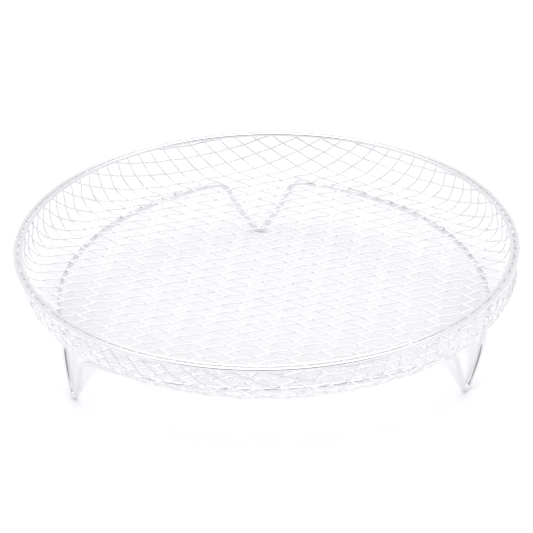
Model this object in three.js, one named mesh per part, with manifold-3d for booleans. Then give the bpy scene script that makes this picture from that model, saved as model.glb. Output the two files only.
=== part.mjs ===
// Round wire-mesh cooling rack: a shallow dish of crossing stainless wires held in a double
// wire rim, standing on one bent wire that is both the ring under the floor and three V feet.
// Millimetres, +Z up. The origin is on the floor that the rack stands on, under the rim's centre.
import * as THREE from "three";
import { mergeVertices } from "three/addons/utils/BufferGeometryUtils.js";
import Module from "manifold-3d";

// Driving dimensions.
const rimDiameter = 300;
const overallHeight = 67;
const rimWire = 2.5;
const rimGap = 0.9; // between the two rim rings, which clamp the mesh's edge
const frameWire = 3.2;
const frameHeight = 36.8; // centre of the frame's ring above the floor
const toeBend = 3.2; // bend radius at the foot's toe
const footFlat = 0.2; // worn off the underside of each toe
const weldBead = 4; // diameter of the bead on the frame's butt weld
const weldGap = 0.4; // between the wire's two ends, inside the bead
const meshWire = 0.9;
const meshPitch = 9.1;
const layerGap = 0.3; // between the wires that cross over each other
const warpAzimuth = -39;
const weftAzimuth = 20;
const warpCount = 28;
const weftCount = 29;
const floorClearance = 1.1; // under the mesh's middle surface at the frame, beside the wire itself
const dishCorner = 12.5; // radius of the bend between floor and wall
const dishSag = 3; // the floor hangs lower in its middle
const dishOffset = [2.5, 3]; // the mesh's floor sits a little off the rim's centre

// The frame is bent by hand, so its feet differ a little. Each place is an azimuth and a radius:
// the toe, and the corners where the ring turns down into the foot on either side of it. Each of
// the foot's two arms has its bend radius at the ring and its bow outwards.
const feet = [
  { toe: [91.9, 135], from: [82, 135.8], to: [101.4, 136.5], bends: [12, 12], bows: [1.2, 1.2] },
  { toe: [210.8, 132.2], from: [202.4, 128.8], to: [219.5, 136.4], bends: [6, 13], bows: [3.8, 0] },
  { toe: [329.7, 132.8], from: [320.9, 136.6], to: [338, 137], bends: [12, 6], bows: [0, 4.2] },
];
const sideMiddles = [[155, 122.4], [270, 121.8], [30, 126.5]]; // the side after each foot

// How finely the wires are faceted.
const rimSides = 8;
const rimSegments = 72;
const frameSides = 8;
const sideSteps = 14;
const bendSteps = 5;
const armSteps = 4;
const meshSides = 5;
const meshTolerance = 0.4;

const radians = THREE.MathUtils.degToRad;
const wasm = await Module();
wasm.setup();

const frameSteel = { color: 0xd9dade, metalness: 1, roughness: 0.2 };
const rimSteel = { color: 0xe0e1e5, metalness: 1, roughness: 0.16 };
const meshSteel = { color: 0xd2d3d8, metalness: 1, roughness: 0.28 };

const rack = new THREE.Group();
rack.name = "cooling_rack";

function addMesh(name, geometry, steel) {
  const mesh = new THREE.Mesh(geometry, new THREE.MeshStandardMaterial(steel));
  mesh.name = name;
  rack.add(mesh);
}

// A path through exactly the given points, with the tangent halving the turn at each of them.
class WirePath extends THREE.Curve {
  constructor(points) {
    super();
    this.points = points;
  }

  getPointAt(u, target = new THREE.Vector3()) {
    return target.copy(this.points[Math.round(u * (this.points.length - 1))]);
  }

  getTangentAt(u, target = new THREE.Vector3()) {
    const last = this.points.length - 1;
    const i = Math.round(u * last);
    const here = this.points[i];
    const before = this.points[Math.max(i - 1, 0)];
    const after = this.points[Math.min(i + 1, last)];
    target.set(0, 0, 0);
    if (i > 0) target.add(here.clone().sub(before).normalize());
    if (i < last) target.add(after.clone().sub(here).normalize());
    return target.normalize();
  }
}

function wireGeometry(points, diameter, sides) {
  const section = new THREE.Shape();
  for (let i = 0; i < sides; i += 1) {
    const angle = (i / sides) * 2 * Math.PI;
    const x = (diameter / 2) * Math.cos(angle);
    const y = (diameter / 2) * Math.sin(angle);
    if (i === 0) section.moveTo(x, y);
    else section.lineTo(x, y);
  }
  section.closePath();
  return new THREE.ExtrudeGeometry(section, {
    steps: points.length - 1,
    extrudePath: new WirePath(points),
  });
}

// Keeps the fewest points whose straight stretches stay within the tolerance of the full path.
function simplify(points, tolerance) {
  const first = points[0];
  const last = points[points.length - 1];
  const line = new THREE.Line3(first, last);
  let worst = 0;
  let index = 0;
  for (let i = 1; i < points.length - 1; i += 1) {
    const foot = line.closestPointToPoint(points[i], true, new THREE.Vector3());
    const distance = foot.distanceTo(points[i]);
    if (distance > worst) {
      worst = distance;
      index = i;
    }
  }
  if (worst <= tolerance) return [first, last];
  const left = simplify(points.slice(0, index + 1), tolerance);
  const right = simplify(points.slice(index), tolerance);
  return [...left, ...right.slice(1)];
}

function manifoldOf(geometry) {
  const bare = geometry.clone();
  bare.deleteAttribute("normal");
  bare.deleteAttribute("uv");
  const merged = mergeVertices(bare, 1e-4);
  const vertProperties = new Float32Array(merged.attributes.position.array);
  const triVerts = new Uint32Array(merged.index.array);
  return new wasm.Manifold(new wasm.Mesh({ numProp: 3, vertProperties, triVerts }));
}

function geometryOf(solid) {
  const { vertProperties, triVerts } = solid.getMesh();
  const geometry = new THREE.BufferGeometry();
  geometry.setAttribute("position", new THREE.BufferAttribute(vertProperties, 3));
  geometry.setIndex(new THREE.BufferAttribute(triVerts, 1));
  return geometry;
}

function polar(radius, azimuth, z) {
  return new THREE.Vector3(radius * Math.cos(azimuth), radius * Math.sin(azimuth), z);
}

// Rim: an outer and an inner ring side by side, with the mesh's wire ends just below their gap.
const rimHeight = overallHeight - rimWire / 2;
const outerRingRadius = rimDiameter / 2 - rimWire / 2;
const innerRingRadius = outerRingRadius - rimWire - rimGap;
for (const [name, radius] of [["rim_outer_ring", outerRingRadius], ["rim_inner_ring", innerRingRadius]]) {
  const ring = new THREE.TorusGeometry(radius, rimWire / 2, rimSides, rimSegments);
  ring.translate(0, 0, rimHeight);
  addMesh(name, ring, rimSteel);
}

// Frame: three nearly round stretches of ring joined by three V feet, bent from one wire.
function bend(before, corner, after, radius) {
  const inward = before.clone().sub(corner).normalize();
  const outward = after.clone().sub(corner).normalize();
  const half = inward.angleTo(outward) / 2;
  const reach = radius / Math.tan(half);
  const axis = inward.clone().add(outward).normalize();
  const centre = corner.clone().addScaledVector(axis, radius / Math.sin(half));
  const start = corner.clone().addScaledVector(inward, reach).sub(centre);
  const end = corner.clone().addScaledVector(outward, reach).sub(centre);
  const turn = start.angleTo(end);
  const points = [];
  for (let i = 0; i <= bendSteps; i += 1) {
    const share = i / bendSteps;
    const from = Math.sin((1 - share) * turn) / Math.sin(turn);
    const to = Math.sin(share * turn) / Math.sin(turn);
    points.push(centre.clone().addScaledVector(start, from).addScaledVector(end, to));
  }
  return points;
}

function ringPlace([azimuth, radius]) {
  return polar(radius, radians(azimuth), frameHeight);
}

// A side of the ring: the arc that runs from one corner through its middle to the next corner.
function frameSide(start, middle, end) {
  const u = middle.clone().sub(start);
  const v = end.clone().sub(start);
  const cross = 2 * (u.x * v.y - u.y * v.x);
  const x = (v.y * u.lengthSq() - u.y * v.lengthSq()) / cross;
  const y = (u.x * v.lengthSq() - v.x * u.lengthSq()) / cross;
  const centre = start.clone().add(new THREE.Vector3(x, y, 0));
  const first = start.clone().sub(centre);
  const last = end.clone().sub(centre);
  const turn = first.angleTo(last);
  const points = [];
  for (let i = 0; i <= sideSteps; i += 1) {
    const swing = new THREE.Vector3(0, 0, 1);
    points.push(first.clone().applyAxisAngle(swing, (turn * i) / sideSteps).add(centre));
  }
  return points;
}

// The sharp point that the toe's bend rounds off, so that the bend just reaches the toe's height.
const toeHeight = frameWire / 2 - footFlat;
function toePoint(foot) {
  const [azimuth, radius] = foot.toe;
  const point = polar(radius, radians(azimuth), 0);
  const settlingRounds = 8;
  for (let i = 0; i < settlingRounds; i += 1) {
    const curve = bend(ringPlace(foot.from), point, ringPlace(foot.to), toeBend);
    point.z += toeHeight - Math.min(...curve.map((p) => p.z));
  }
  return point;
}

// The points of an arm between its two bends, bowed away from the foot's other arm.
function armPoints(start, end, outward, bow) {
  const points = [];
  for (let i = 1; i < armSteps; i += 1) {
    const share = i / armSteps;
    const swing = bow * 4 * share * (1 - share);
    points.push(start.clone().lerp(end, share).addScaledVector(outward, swing));
  }
  return points;
}

const sides = feet.map((foot, i) => {
  const next = feet[(i + 1) % feet.length];
  return frameSide(ringPlace(foot.to), ringPlace(sideMiddles[i]), ringPlace(next.from));
});
const framePath = [];
feet.forEach((foot, i) => {
  const before = sides[(i + sides.length - 1) % sides.length];
  const after = sides[i];
  const from = before[before.length - 1];
  const to = after[0];
  const toe = toePoint(foot);
  const forward = to.clone().sub(from).normalize();
  const downTurn = bend(before[before.length - 2], from, toe, foot.bends[0]);
  const toeTurn = bend(from, toe, to, toeBend);
  const upTurn = bend(toe, to, after[1], foot.bends[1]);
  framePath.push(...downTurn);
  const backward = forward.clone().negate();
  framePath.push(...armPoints(downTurn[bendSteps], toeTurn[0], backward, foot.bows[0]));
  framePath.push(...toeTurn);
  framePath.push(...armPoints(toeTurn[bendSteps], upTurn[0], forward, foot.bows[1]));
  framePath.push(...upTurn);
  framePath.push(...after.slice(1, -1));
});

// The wire's two ends meet in a butt weld half way along a side, where a small bead covers them.
const weldIndex = framePath.length - Math.round(sideSteps / 2);
const weldPoint = framePath[weldIndex];
const around = [...framePath.slice(weldIndex), ...framePath.slice(0, weldIndex)];
const halfGap = around[1].clone().sub(weldPoint).setLength(weldGap / 2);
const frameEnds = [weldPoint.clone().add(halfGap), ...around.slice(1), weldPoint.clone().sub(halfGap)];
const bead = new THREE.SphereGeometry(weldBead / 2, frameSides * 2, frameSides);
bead.translate(weldPoint.x, weldPoint.y, weldPoint.z);
const ground = new THREE.BoxGeometry(rimDiameter, rimDiameter, frameWire);
ground.translate(0, 0, -frameWire / 2);
const frameSolid = manifoldOf(wireGeometry(frameEnds, frameWire, frameSides))
  .add(manifoldOf(bead))
  .subtract(manifoldOf(ground));
addMesh("leg_frame", geometryOf(frameSolid), frameSteel);

// Dish: the flat sheet of mesh, mapped onto a hanging floor, a rounded corner and an upright wall.
// The distance along the sheet from its centre is kept, and so is the azimuth.
const valleyRadius = (outerRingRadius + innerRingRadius) / 2;
const wallTop = rimHeight - rimWire / 2 - layerGap / 2;
const floorEdgeHeight = frameHeight + frameWire / 2 + meshWire + floorClearance;
const cornerHeight = floorEdgeHeight + dishCorner;
const cornerRadius = valleyRadius - dishCorner;
const floorSlope = (2 * dishSag) / cornerRadius;
const floorReach = cornerRadius + dishCorner * Math.sin(floorSlope);
const cornerReach = dishCorner * (Math.PI / 2 - floorSlope);
const sheetRadius = floorReach + cornerReach + wallTop - cornerHeight;

// Where a point of the sheet lies: its radius, its height, and the surface's slope there.
function dishProfile(distance) {
  if (distance <= floorReach) {
    const share = distance / floorReach;
    const edge = cornerHeight - dishCorner * Math.cos(floorSlope);
    return { radius: distance, z: edge - dishSag * (1 - share ** 2), slope: floorSlope * share };
  }
  if (distance <= floorReach + cornerReach) {
    const slope = floorSlope + (distance - floorReach) / dishCorner;
    const radius = cornerRadius + dishCorner * Math.sin(slope);
    return { radius, z: cornerHeight - dishCorner * Math.cos(slope), slope };
  }
  const z = cornerHeight + distance - floorReach - cornerReach;
  return { radius: valleyRadius, z, slope: Math.PI / 2 };
}

// One mesh wire: a straight line of the sheet at an offset from its centre, in one of two layers.
function meshWirePath(azimuth, offset, layer) {
  const direction = radians(azimuth);
  const half = Math.sqrt(sheetRadius ** 2 - offset ** 2);
  const steps = Math.ceil(half);
  const lift = (layer * (meshWire + layerGap)) / 2;
  const points = [];
  for (let i = -steps; i <= steps; i += 1) {
    const along = (half * i) / steps;
    const place = dishProfile(Math.hypot(along, offset));
    const bearing = direction + Math.atan2(offset, along);
    const radius = place.radius - lift * Math.sin(place.slope);
    const point = polar(radius, bearing, place.z + lift * Math.cos(place.slope));
    const drop = THREE.MathUtils.clamp((wallTop - place.z) / (wallTop - floorEdgeHeight), 0, 1);
    point.x += dishOffset[0] * drop;
    point.y += dishOffset[1] * drop;
    points.push(point);
  }
  return simplify(points, meshTolerance);
}

function addFamily(name, azimuth, count, layer) {
  for (let i = 0; i < count; i += 1) {
    const offset = (i - (count - 1) / 2) * meshPitch;
    const path = meshWirePath(azimuth, offset, layer);
    const number = String(i + 1).padStart(2, "0");
    addMesh(`${name}_wire_${number}`, wireGeometry(path, meshWire, meshSides), meshSteel);
  }
}
addFamily("warp", warpAzimuth, warpCount, -1);
addFamily("weft", weftAzimuth, weftCount, 1);

export default rack;
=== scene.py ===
# Round wire-mesh cooling rack: a shallow woven dish in a double wire rim, on a bent wire frame
# with three V feet. Metres, +Z up. Every wire is swept along its own centre line, and the mesh
# wires weave over and under each other, where their CAD solids lie in two plain layers.
import math

import bpy
import numpy as np
from mathutils import Matrix, Vector


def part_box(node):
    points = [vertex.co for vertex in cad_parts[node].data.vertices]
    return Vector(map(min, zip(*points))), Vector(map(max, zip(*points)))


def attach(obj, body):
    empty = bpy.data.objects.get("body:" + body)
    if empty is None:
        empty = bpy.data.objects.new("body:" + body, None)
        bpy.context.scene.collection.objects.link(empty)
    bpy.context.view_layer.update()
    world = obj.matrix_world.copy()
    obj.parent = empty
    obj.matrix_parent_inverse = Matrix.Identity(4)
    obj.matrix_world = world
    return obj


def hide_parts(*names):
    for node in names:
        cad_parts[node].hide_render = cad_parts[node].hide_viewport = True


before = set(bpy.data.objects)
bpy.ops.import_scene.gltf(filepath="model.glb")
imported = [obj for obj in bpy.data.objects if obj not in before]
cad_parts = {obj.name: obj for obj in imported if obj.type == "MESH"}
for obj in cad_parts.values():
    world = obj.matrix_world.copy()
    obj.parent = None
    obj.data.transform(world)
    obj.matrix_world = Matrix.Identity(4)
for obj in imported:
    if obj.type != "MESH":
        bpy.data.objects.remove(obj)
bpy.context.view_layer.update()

MM = 0.001

# Driving dimensions, as in the part's source.
FRAME_WIRE = 3.2 * MM
FRAME_HEIGHT = 36.8 * MM
TOE_BEND = 3.2 * MM
FOOT_FLAT = 0.2 * MM
MESH_WIRE = 0.9 * MM
MESH_PITCH = 9.1 * MM
WARP_AZIMUTH = -39
WEFT_AZIMUTH = 20
WARP_CAD_COUNT = 28
WEFT_CAD_COUNT = 29
WARP_COUNT = 36
WEFT_COUNT = 37
DISH_CORNER = 12.5 * MM
DISH_SAG = 3 * MM
DISH_OFFSET = Vector((2.5, 3, 0)) * MM

# The hand-bent feet, as azimuths in degrees and radii in millimetres: the toe, and the corners
# where the ring turns down into the foot on either side of it. Each of the two arms has its bend
# radius at the ring and its outward bow. Then the middle of the side after each foot.
FEET = (
    {
        "toe": (91.9, 135), "from": (82, 135.8), "to": (101.4, 136.5),
        "bends": (12, 12), "bows": (1.2, 1.2),
    },
    {
        "toe": (210.8, 132.2), "from": (202.4, 128.8), "to": (219.5, 136.4),
        "bends": (6, 13), "bows": (3.8, 0),
    },
    {
        "toe": (329.7, 132.8), "from": (320.9, 136.6), "to": (338, 137),
        "bends": (12, 6), "bows": (0, 4.2),
    },
)
SIDE_MIDDLES = ((155, 122.4), (270, 121.8), (30, 126.5))

# The rim comes from the CAD's two rings.
outer_low, outer_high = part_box("rim_outer_ring")
inner_low, inner_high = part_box("rim_inner_ring")
RIM_WIRE = outer_high[2] - outer_low[2]
RIM_HEIGHT = (outer_high[2] + outer_low[2]) / 2
OUTER_RADIUS = (outer_high[0] - outer_low[0]) / 2 - RIM_WIRE / 2
INNER_RADIUS = (inner_high[0] - inner_low[0]) / 2 - RIM_WIRE / 2


def polar(radius, azimuth, z):
    return Vector((radius * math.cos(azimuth), radius * math.sin(azimuth), z))


# Materials.

STREAK_STRETCH = 14  # how many times longer than wide the drawing streaks are
DULL_TINT = 0.93  # of the tint, where the polish is dullest
SMOOTHEST, ROUGHEST = 0.75, 1.3  # of the roughness, between and on the streaks
STREAK_DEPTH = 0.02 * MM


def noise(nodes, scale, detail):
    texture = nodes.new("ShaderNodeTexNoise")
    texture.inputs["Scale"].default_value = scale
    texture.inputs["Detail"].default_value = detail
    return texture


def map_range(nodes, from_range, to_range):
    """A node that carries one range of values over to another."""
    node = nodes.new("ShaderNodeMapRange")
    node.inputs["From Min"].default_value, node.inputs["From Max"].default_value = from_range
    node.inputs["To Min"].default_value, node.inputs["To Max"].default_value = to_range
    return node


def steel(name, tint, roughness, streak, bump, mottling):
    """Drawn stainless wire: fine streaks along the wire and a faint mottling of its polish.

    streak and mottling are the scales of the two patterns, and bump is the streaks' strength.
    """
    material = bpy.data.materials.new(name)
    material.use_nodes = True
    nodes, links = material.node_tree.nodes, material.node_tree.links
    shader = nodes["Principled BSDF"]
    shader.inputs["Metallic"].default_value = 1.0

    along = nodes.new("ShaderNodeUVMap")
    along.uv_map = "wire"
    stretch = nodes.new("ShaderNodeMapping")
    stretch.inputs["Scale"].default_value = (streak / STREAK_STRETCH, streak, 1)
    links.new(along.outputs["UV"], stretch.inputs["Vector"])
    drawing = noise(nodes, 1.0, 4)
    links.new(stretch.outputs["Vector"], drawing.inputs["Vector"])

    place = nodes.new("ShaderNodeTexCoord")
    polish = noise(nodes, mottling, 3)
    links.new(place.outputs["Object"], polish.inputs["Vector"])

    colour = nodes.new("ShaderNodeMix")
    colour.data_type = "RGBA"
    colour.inputs["A"].default_value = (*[c * DULL_TINT for c in tint], 1)
    colour.inputs["B"].default_value = (*tint, 1)
    links.new(polish.outputs["Fac"], colour.inputs["Factor"])
    links.new(colour.outputs["Result"], shader.inputs["Base Color"])

    rough = map_range(nodes, (0.3, 0.7), (roughness * SMOOTHEST, roughness * ROUGHEST))
    links.new(drawing.outputs["Fac"], rough.inputs["Value"])
    links.new(rough.outputs["Result"], shader.inputs["Roughness"])

    relief = nodes.new("ShaderNodeBump")
    relief.inputs["Strength"].default_value = bump
    relief.inputs["Distance"].default_value = STREAK_DEPTH
    links.new(drawing.outputs["Fac"], relief.inputs["Height"])
    links.new(relief.outputs["Normal"], shader.inputs["Normal"])
    return material


RIM_STEEL = steel("polished_rim_steel", (0.88, 0.88, 0.9), 0.11, 9000, 0.25, 60)
FRAME_STEEL = steel("bright_frame_steel", (0.85, 0.85, 0.87), 0.13, 8000, 0.3, 50)
MESH_STEEL = steel("drawn_mesh_steel", (0.95, 0.95, 0.965), 0.48, 20000, 0.3, 90)


# Wires.

# The rings that round over a wire's cut ends: how far past the end, and how wide, in wire radii.
END_RINGS = ((0.275, 0.9), (0.775, 0.62))


def transported_frames(points, closed):
    """Tangent, normal and binormal at each point, turning as little as possible along the wire."""
    count = len(points)
    if closed:
        tangents = np.roll(points, -1, axis=0) - np.roll(points, 1, axis=0)
    else:
        tangents = np.gradient(points, axis=0)
    tangents /= np.linalg.norm(tangents, axis=1)[:, None]
    normal = np.cross(tangents[0], (0, 0, 1))
    if np.linalg.norm(normal) < 0.1:
        normal = np.cross(tangents[0], (1, 0, 0))
    normals = [normal / np.linalg.norm(normal)]
    for i in range(1, count):
        normal = normals[-1] - tangents[i] * np.dot(normals[-1], tangents[i])
        normals.append(normal / np.linalg.norm(normal))
    normals = np.array(normals)
    binormals = np.cross(tangents, normals)
    if closed:
        last = normals[-1] - tangents[0] * np.dot(normals[-1], tangents[0])
        twist = math.atan2(np.dot(last, binormals[0]), np.dot(last, normals[0]))
        turn = -twist * np.arange(count) / count
        cosine, sine = np.cos(turn)[:, None], np.sin(turn)[:, None]
        normals, binormals = normals * cosine + binormals * sine, binormals * cosine - normals * sine
    return tangents, normals, binormals


def sweep(name, points, radius, sides, material, closed=False, swell=None):
    """A round wire along the points. swell gives the factor on its radius at a distance along it."""
    points = np.array([tuple(p) for p in points])
    tangents, normals, binormals = transported_frames(points, closed)
    steps = np.linalg.norm(np.diff(points, axis=0), axis=1)
    distance = np.concatenate([[0], np.cumsum(steps)])
    radii = np.full(len(points), radius)
    if swell:
        radii = radii * np.array([swell(d) for d in distance])
    if not closed:
        start, end = points[0], points[-1]
        for reach, width in END_RINGS:
            before = start - tangents[0] * radius * reach
            after = end + tangents[-1] * radius * reach
            points = np.vstack([before, points, after])
            radii = np.concatenate([[radius * width], radii, [radius * width]])
        extra = len(END_RINGS)
        margin = ((extra, extra), (0, 0))
        tangents, normals, binormals = [
            np.pad(axes, margin, mode="edge") for axes in (tangents, normals, binormals)
        ]
        distance = np.pad(distance, extra, mode="edge")
    angles = 2 * math.pi * np.arange(sides) / sides
    ring = (
        normals[:, None] * np.cos(angles)[None, :, None]
        + binormals[:, None] * np.sin(angles)[None, :, None]
    )
    vertices = (points[:, None] + ring * radii[:, None, None]).reshape(-1, 3)
    count = len(points)
    faces, uvs = [], []
    around = 2 * math.pi * radius
    for i in range(count if closed else count - 1):
        j = (i + 1) % count
        u0 = distance[i]
        u1 = distance[j] if j else distance[i] + np.linalg.norm(points[0] - points[i])
        for k in range(sides):
            m = (k + 1) % sides
            faces.append((i * sides + k, i * sides + m, j * sides + m, j * sides + k))
            v0, v1 = around * k / sides, around * (k + 1) / sides
            uvs += [(u0, v0), (u0, v1), (u1, v1), (u1, v0)]
    if not closed:
        first = tuple(range(sides - 1, -1, -1))
        last = tuple((count - 1) * sides + k for k in range(sides))
        faces += [first, last]
        uvs += [(0, around * k / sides) for k in first]
        uvs += [(distance[-1], around * (k % sides) / sides) for k in last]
    mesh = bpy.data.meshes.new(name)
    mesh.from_pydata(vertices.tolist(), [], faces)
    layer = mesh.uv_layers.new(name="wire")
    layer.data.foreach_set("uv", np.array(uvs).ravel())
    mesh.shade_smooth()
    mesh.materials.append(material)
    piece = bpy.data.objects.new(name, mesh)
    bpy.context.scene.collection.objects.link(piece)
    return piece


def weld_swell(length, height, reach, steepness):
    """The swelling of a butt weld where a closed wire of this length starts and ends."""
    def swell(distance):
        gap = min(distance, length - distance)
        return 1 + height * math.exp(-((gap / reach) ** steepness))

    return swell


# Rim.

RING_STEPS = 360
RING_SIDES = 20
RING_FIT = 0.999  # the ring stays a hair inside the CAD's


def rim_ring(name, radius, weld_azimuth):
    """A closed ring of wire, a little thicker at its butt weld."""
    points = []
    for i in range(RING_STEPS):
        azimuth = weld_azimuth + 2 * math.pi * i / RING_STEPS
        points.append(polar(radius, azimuth, RIM_HEIGHT))
    swell = weld_swell(2 * math.pi * radius, 0.05, 1.6 * MM, 2)
    wire_radius = RIM_WIRE / 2 * RING_FIT
    return sweep(name, points, wire_radius, RING_SIDES, RIM_STEEL, closed=True, swell=swell)


# Frame.

FRAME_SIDES = 20
SIDE_STEPS = 90
BEND_STEPS = 12
TOE_STEPS = 16
ARM_STEPS = 16


def bend(before, corner, after, radius, steps):
    inward = (before - corner).normalized()
    outward = (after - corner).normalized()
    half = inward.angle(outward) / 2
    reach = radius / math.tan(half)
    centre = corner + (inward + outward).normalized() * (radius / math.sin(half))
    start = corner + inward * reach - centre
    end = corner + outward * reach - centre
    turn = start.angle(end)
    points = []
    for i in range(steps + 1):
        share = i / steps
        start_share = math.sin((1 - share) * turn) / math.sin(turn)
        end_share = math.sin(share * turn) / math.sin(turn)
        points.append(centre + start * start_share + end * end_share)
    return points


def ring_place(place):
    azimuth, radius = place
    return polar(radius * MM, math.radians(azimuth), FRAME_HEIGHT)


def frame_side(start, middle, end):
    """The arc that runs from one corner through the side's middle to the next corner."""
    u, v = middle - start, end - start
    cross = 2 * (u.x * v.y - u.y * v.x)
    x = (v.y * u.length_squared - u.y * v.length_squared) / cross
    y = (u.x * v.length_squared - v.x * u.length_squared) / cross
    centre = start + Vector((x, y, 0))
    first, last = start - centre, end - centre
    turn = first.angle(last)
    return [
        centre + Matrix.Rotation(turn * i / SIDE_STEPS, 3, "Z") @ first
        for i in range(SIDE_STEPS + 1)
    ]


def toe_point(foot):
    """The sharp point that the toe's bend rounds off, so that the bend just reaches the floor."""
    azimuth, radius = foot["toe"]
    point = polar(radius * MM, math.radians(azimuth), 0)
    corrections, fine_steps = 8, 24
    for _ in range(corrections):
        curve = bend(ring_place(foot["from"]), point, ring_place(foot["to"]), TOE_BEND, fine_steps)
        point.z += FRAME_WIRE / 2 - FOOT_FLAT - min(p.z for p in curve)
    return point


def arm(start, end, outward, bow):
    """The points of an arm between its two bends, bowed away from the foot's other arm."""
    points = []
    for i in range(1, ARM_STEPS):
        share = i / ARM_STEPS
        points.append(start.lerp(end, share) + outward * (bow * MM * 4 * share * (1 - share)))
    return points


def frame_path():
    """The closed centre line: each foot's bends and arms, then the side after it."""
    sides = []
    for i, foot in enumerate(FEET):
        after = FEET[(i + 1) % len(FEET)]
        corner, next_corner = ring_place(foot["to"]), ring_place(after["from"])
        sides.append(frame_side(corner, ring_place(SIDE_MIDDLES[i]), next_corner))
    points = []
    for i, foot in enumerate(FEET):
        before, after = sides[i - 1], sides[i]
        start, end, toe = before[-1], after[0], toe_point(foot)
        forward = (end - start).normalized()
        down_bend, up_bend = [radius * MM for radius in foot["bends"]]
        down_turn = bend(before[-2], start, toe, down_bend, BEND_STEPS)
        toe_turn = bend(start, toe, end, TOE_BEND, TOE_STEPS)
        up_turn = bend(toe, end, after[1], up_bend, BEND_STEPS)
        points += down_turn + arm(down_turn[-1], toe_turn[0], -forward, foot["bows"][0])
        points += toe_turn + arm(toe_turn[-1], up_turn[0], forward, foot["bows"][1]) + up_turn
        next_bend = FEET[(i + 1) % len(FEET)]["bends"][0] * MM
        for point in after:  # the side's ends give way to the bends
            if (point - after[0]).length > up_bend and (point - after[-1]).length > next_bend:
                points.append(point)
    return points


def leg_frame():
    """The bent wire, butt-welded in the middle of its last side, with its toes worn flat."""
    points = frame_path()
    weld = len(points) - SIDE_STEPS // 2
    points = points[weld:] + points[:weld]
    length = sum((q - p).length for p, q in zip(points, points[1:] + points[:1]))
    swell = weld_swell(length, 0.2, 1.7 * MM, 4)
    piece = sweep(
        "wire_frame", points, FRAME_WIRE / 2, FRAME_SIDES, FRAME_STEEL, closed=True, swell=swell)
    for vertex in piece.data.vertices:
        vertex.co.z = max(vertex.co.z, 0)
    return piece


# Dish: the flat sheet of woven mesh, mapped onto a hanging floor, a rounded corner and a wall.

MESH_SIDES = 8
STEPS_PER_PITCH = 7
FEWEST_STEPS = 8
VALLEY_RADIUS = (OUTER_RADIUS + INNER_RADIUS) / 2
WALL_TOP = RIM_HEIGHT + 0.2 * MM  # the mesh's edge is clamped between the two rings
CLAMPED = 2.5 * MM  # below its end a wire runs out of its weave into the clamp
FLOOR_EDGE_HEIGHT = FRAME_HEIGHT + FRAME_WIRE / 2 + MESH_WIRE * 1.6
CORNER_HEIGHT = FLOOR_EDGE_HEIGHT + DISH_CORNER
CORNER_RADIUS = VALLEY_RADIUS - DISH_CORNER
FLOOR_SLOPE = 2 * DISH_SAG / CORNER_RADIUS
FLOOR_REACH = CORNER_RADIUS + DISH_CORNER * math.sin(FLOOR_SLOPE)
CORNER_REACH = DISH_CORNER * (math.pi / 2 - FLOOR_SLOPE)
SHEET_RADIUS = FLOOR_REACH + CORNER_REACH + WALL_TOP - CORNER_HEIGHT


def dish_profile(distance):
    """The radius, height and slope of the sheet at a distance from its centre along it."""
    if distance <= FLOOR_REACH:
        share = distance / FLOOR_REACH
        edge = CORNER_HEIGHT - DISH_CORNER * math.cos(FLOOR_SLOPE)
        return distance, edge - DISH_SAG * (1 - share**2), FLOOR_SLOPE * share
    if distance <= FLOOR_REACH + CORNER_REACH:
        slope = FLOOR_SLOPE + (distance - FLOOR_REACH) / DISH_CORNER
        radius = CORNER_RADIUS + DISH_CORNER * math.sin(slope)
        return radius, CORNER_HEIGHT - DISH_CORNER * math.cos(slope), slope
    return VALLEY_RADIUS, CORNER_HEIGHT + distance - FLOOR_REACH - CORNER_REACH, math.pi / 2


def woven_path(azimuth, offset, other_azimuth, phase, side):
    """A wire's centre line, waving over and under the other family's wires."""
    direction = math.radians(azimuth)
    across = math.radians(other_azimuth) + math.pi / 2
    half = math.sqrt(SHEET_RADIUS**2 - offset**2)
    steps = max(FEWEST_STEPS, math.ceil(2 * half / (MESH_PITCH / STEPS_PER_PITCH)))
    points = []
    for i in range(steps + 1):
        along = half * (2 * i / steps - 1)
        distance = math.hypot(along, offset)
        bearing = direction + math.atan2(offset, along)
        radius, z, slope = dish_profile(distance)
        crossing = distance * math.cos(bearing - across) / MESH_PITCH
        weave = min((WALL_TOP - z) / CLAMPED, 1)  # the share of the full wave
        lift = weave * side * MESH_WIRE / 2 * math.cos(math.pi * (crossing + phase))
        point = polar(radius - lift * math.sin(slope), bearing, z + lift * math.cos(slope))
        # The floor is set a little to one side, which the wall takes up towards the rim.
        drop = min(max((WALL_TOP - z) / (WALL_TOP - FLOOR_EDGE_HEIGHT), 0), 1)
        points.append(point + DISH_OFFSET * drop)
    return points


def add(piece, slot, *nodes):
    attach(piece, "root")
    if nodes:
        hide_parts(*nodes)


def mesh_wires(name, azimuth, count, cad_name, cad_count, other_azimuth, other_count, side):
    """One family of wires. The outermost short ones have no CAD node of their own."""
    short_wires = (count - cad_count) // 2
    for i in range(count):
        number = i - (count - 1) / 2
        phase = (other_count - 1) / 2 + i
        path = woven_path(azimuth, number * MESH_PITCH, other_azimuth, phase, side)
        piece = sweep(f"{name}_{i + 1:02d}", path, MESH_WIRE / 2, MESH_SIDES, MESH_STEEL)
        cad_number = i - short_wires
        if 0 <= cad_number < cad_count:
            add(piece, "mesh_wire", f"{cad_name}_{cad_number + 1:02d}")
        else:
            add(piece, "mesh_wire")


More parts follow.
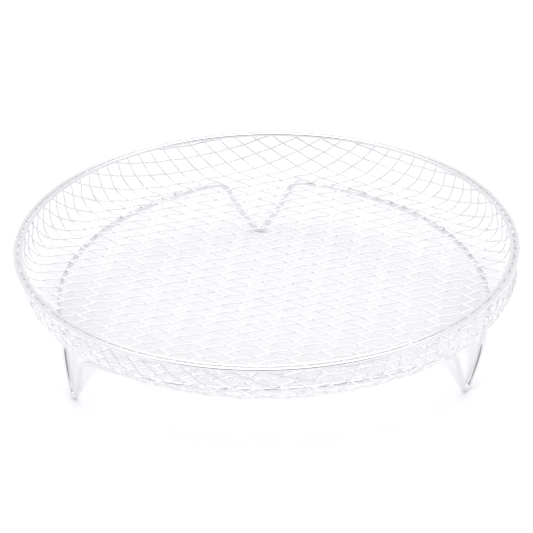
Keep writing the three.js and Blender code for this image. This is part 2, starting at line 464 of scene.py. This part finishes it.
add(rim_ring("rim_outer", OUTER_RADIUS, math.radians(200)), "rim_wire", "rim_outer_ring")
add(rim_ring("rim_inner", INNER_RADIUS, math.radians(188)), "rim_wire", "rim_inner_ring")
add(leg_frame(), "frame_wire", "leg_frame")
mesh_wires(
    "woven_warp", WARP_AZIMUTH, WARP_COUNT, "warp_wire", WARP_CAD_COUNT,
    WEFT_AZIMUTH, WEFT_COUNT, 1)
mesh_wires(
    "woven_weft", WEFT_AZIMUTH, WEFT_COUNT, "weft_wire", WEFT_CAD_COUNT,
    WARP_AZIMUTH, WARP_COUNT, -1)


# Camera.

CAMERA_ELEVATION = 28.75
CAMERA_DISTANCE = 1.4
CAMERA_ROLL = -0.99
CAMERA_TARGET = Vector((-0.1, 0, 47.8)) * MM
VIEW_WIDTH_ANGLE = 12.98

camera = bpy.data.objects.new("camera", bpy.data.cameras.new("camera"))
bpy.context.scene.collection.objects.link(camera)
camera.data.sensor_width = 36
camera.data.angle = math.radians(VIEW_WIDTH_ANGLE)
elevation = math.radians(CAMERA_ELEVATION)
away_from_target = Vector((0, -math.cos(elevation), math.sin(elevation)))
camera.location = CAMERA_TARGET + away_from_target * CAMERA_DISTANCE
look = (CAMERA_TARGET - camera.location).to_track_quat("-Z", "Y")
roll = Matrix.Rotation(math.radians(CAMERA_ROLL), 3, "Z").to_quaternion()
camera.rotation_mode = "QUATERNION"
camera.rotation_quaternion = look @ roll
bpy.context.scene.camera = camera


# Stage.

FLOOR_HALF_WIDTH = 4.0
FLOOR_COLOUR = (0.7, 0.695, 0.713, 1)

# The tent's light, as a strength, and where it changes, as a place on a sphere of radius 1.
SIDE_LIGHT = 0.97
TOP_LIGHT = 2.2
TOP_LIGHT_FROM = 0.7
DARK_SIDE = (0, -0.95, 0.3)  # the unlit studio in front of the rack
DARK_SIDE_SQUASH = (1.0, 1.0, 1.8)  # it is wider than it is high
DARK_SIDE_REACH, DARK_SIDE_EDGE = 0.6, 0.95
DARK_SIDE_SHARE = 0.38  # of the light that falls from everywhere else

FRONT_FILL = 2.4
FRONT_FILL_ANGLE = 14


def floor():
    mesh = bpy.data.meshes.new("studio_floor")
    corners = [(-1, -1), (1, -1), (1, 1), (-1, 1)]
    vertices = [(x * FLOOR_HALF_WIDTH, y * FLOOR_HALF_WIDTH, 0) for x, y in corners]
    mesh.from_pydata(vertices, [], [(0, 1, 2, 3)])
    material = bpy.data.materials.new("white_sweep")
    material.use_nodes = True
    shader = material.node_tree.nodes["Principled BSDF"]
    shader.inputs["Base Color"].default_value = FLOOR_COLOUR
    shader.inputs["Roughness"].default_value = 0.9
    shader.inputs["Specular IOR Level"].default_value = 0.0
    mesh.materials.append(material)
    plane = bpy.data.objects.new("studio_floor", mesh)
    bpy.context.scene.collection.objects.link(plane)


def light_tent():
    """Soft white light from all round and more from above, with the dark studio in front of it.

    The dark side is what draws the thin dark lines along the polished wires.
    """
    world = bpy.data.worlds.new("light_tent")
    bpy.context.scene.world = world
    world.use_nodes = True
    nodes, links = world.node_tree.nodes, world.node_tree.links
    background = nodes["Background"]
    background.inputs["Color"].default_value = (1, 1, 1, 1)
    place = nodes.new("ShaderNodeTexCoord")
    parts = nodes.new("ShaderNodeSeparateXYZ")
    links.new(place.outputs["Generated"], parts.inputs["Vector"])
    sky = map_range(nodes, (TOP_LIGHT_FROM, 1.0), (SIDE_LIGHT, TOP_LIGHT))
    sky.interpolation_type = "SMOOTHSTEP"
    links.new(parts.outputs["Z"], sky.inputs["Value"])

    toward = nodes.new("ShaderNodeVectorMath")
    toward.operation = "SUBTRACT"
    toward.inputs[1].default_value = DARK_SIDE
    links.new(place.outputs["Generated"], toward.inputs[0])
    squash = nodes.new("ShaderNodeVectorMath")
    squash.operation = "MULTIPLY"
    squash.inputs[1].default_value = DARK_SIDE_SQUASH
    links.new(toward.outputs["Vector"], squash.inputs[0])
    away = nodes.new("ShaderNodeVectorMath")
    away.operation = "LENGTH"
    links.new(squash.outputs["Vector"], away.inputs[0])
    opening = map_range(nodes, (DARK_SIDE_REACH, DARK_SIDE_EDGE), (DARK_SIDE_SHARE, 1.0))
    opening.interpolation_type = "SMOOTHSTEP"
    links.new(away.outputs["Value"], opening.inputs["Value"])

    light = nodes.new("ShaderNodeMath")
    light.operation = "MULTIPLY"
    links.new(sky.outputs["Result"], light.inputs[0])
    links.new(opening.outputs["Result"], light.inputs[1])
    links.new(light.outputs["Value"], background.inputs["Strength"])


def front_fill():
    """A wide soft light along the camera's view, whose shadows fall behind the wires.

    It is not reflected in the steel: it only lights the floor around the rack up to white.
    """
    fill = bpy.data.lights.new("front_fill", "SUN")
    fill.energy = FRONT_FILL
    fill.angle = math.radians(FRONT_FILL_ANGLE)
    lamp = bpy.data.objects.new("front_fill", fill)
    lamp.rotation_mode = "QUATERNION"
    lamp.rotation_quaternion = look
    lamp.visible_glossy = False
    bpy.context.scene.collection.objects.link(lamp)


floor()
light_tent()
front_fill()
bpy.context.scene.view_settings.view_transform = "Standard"
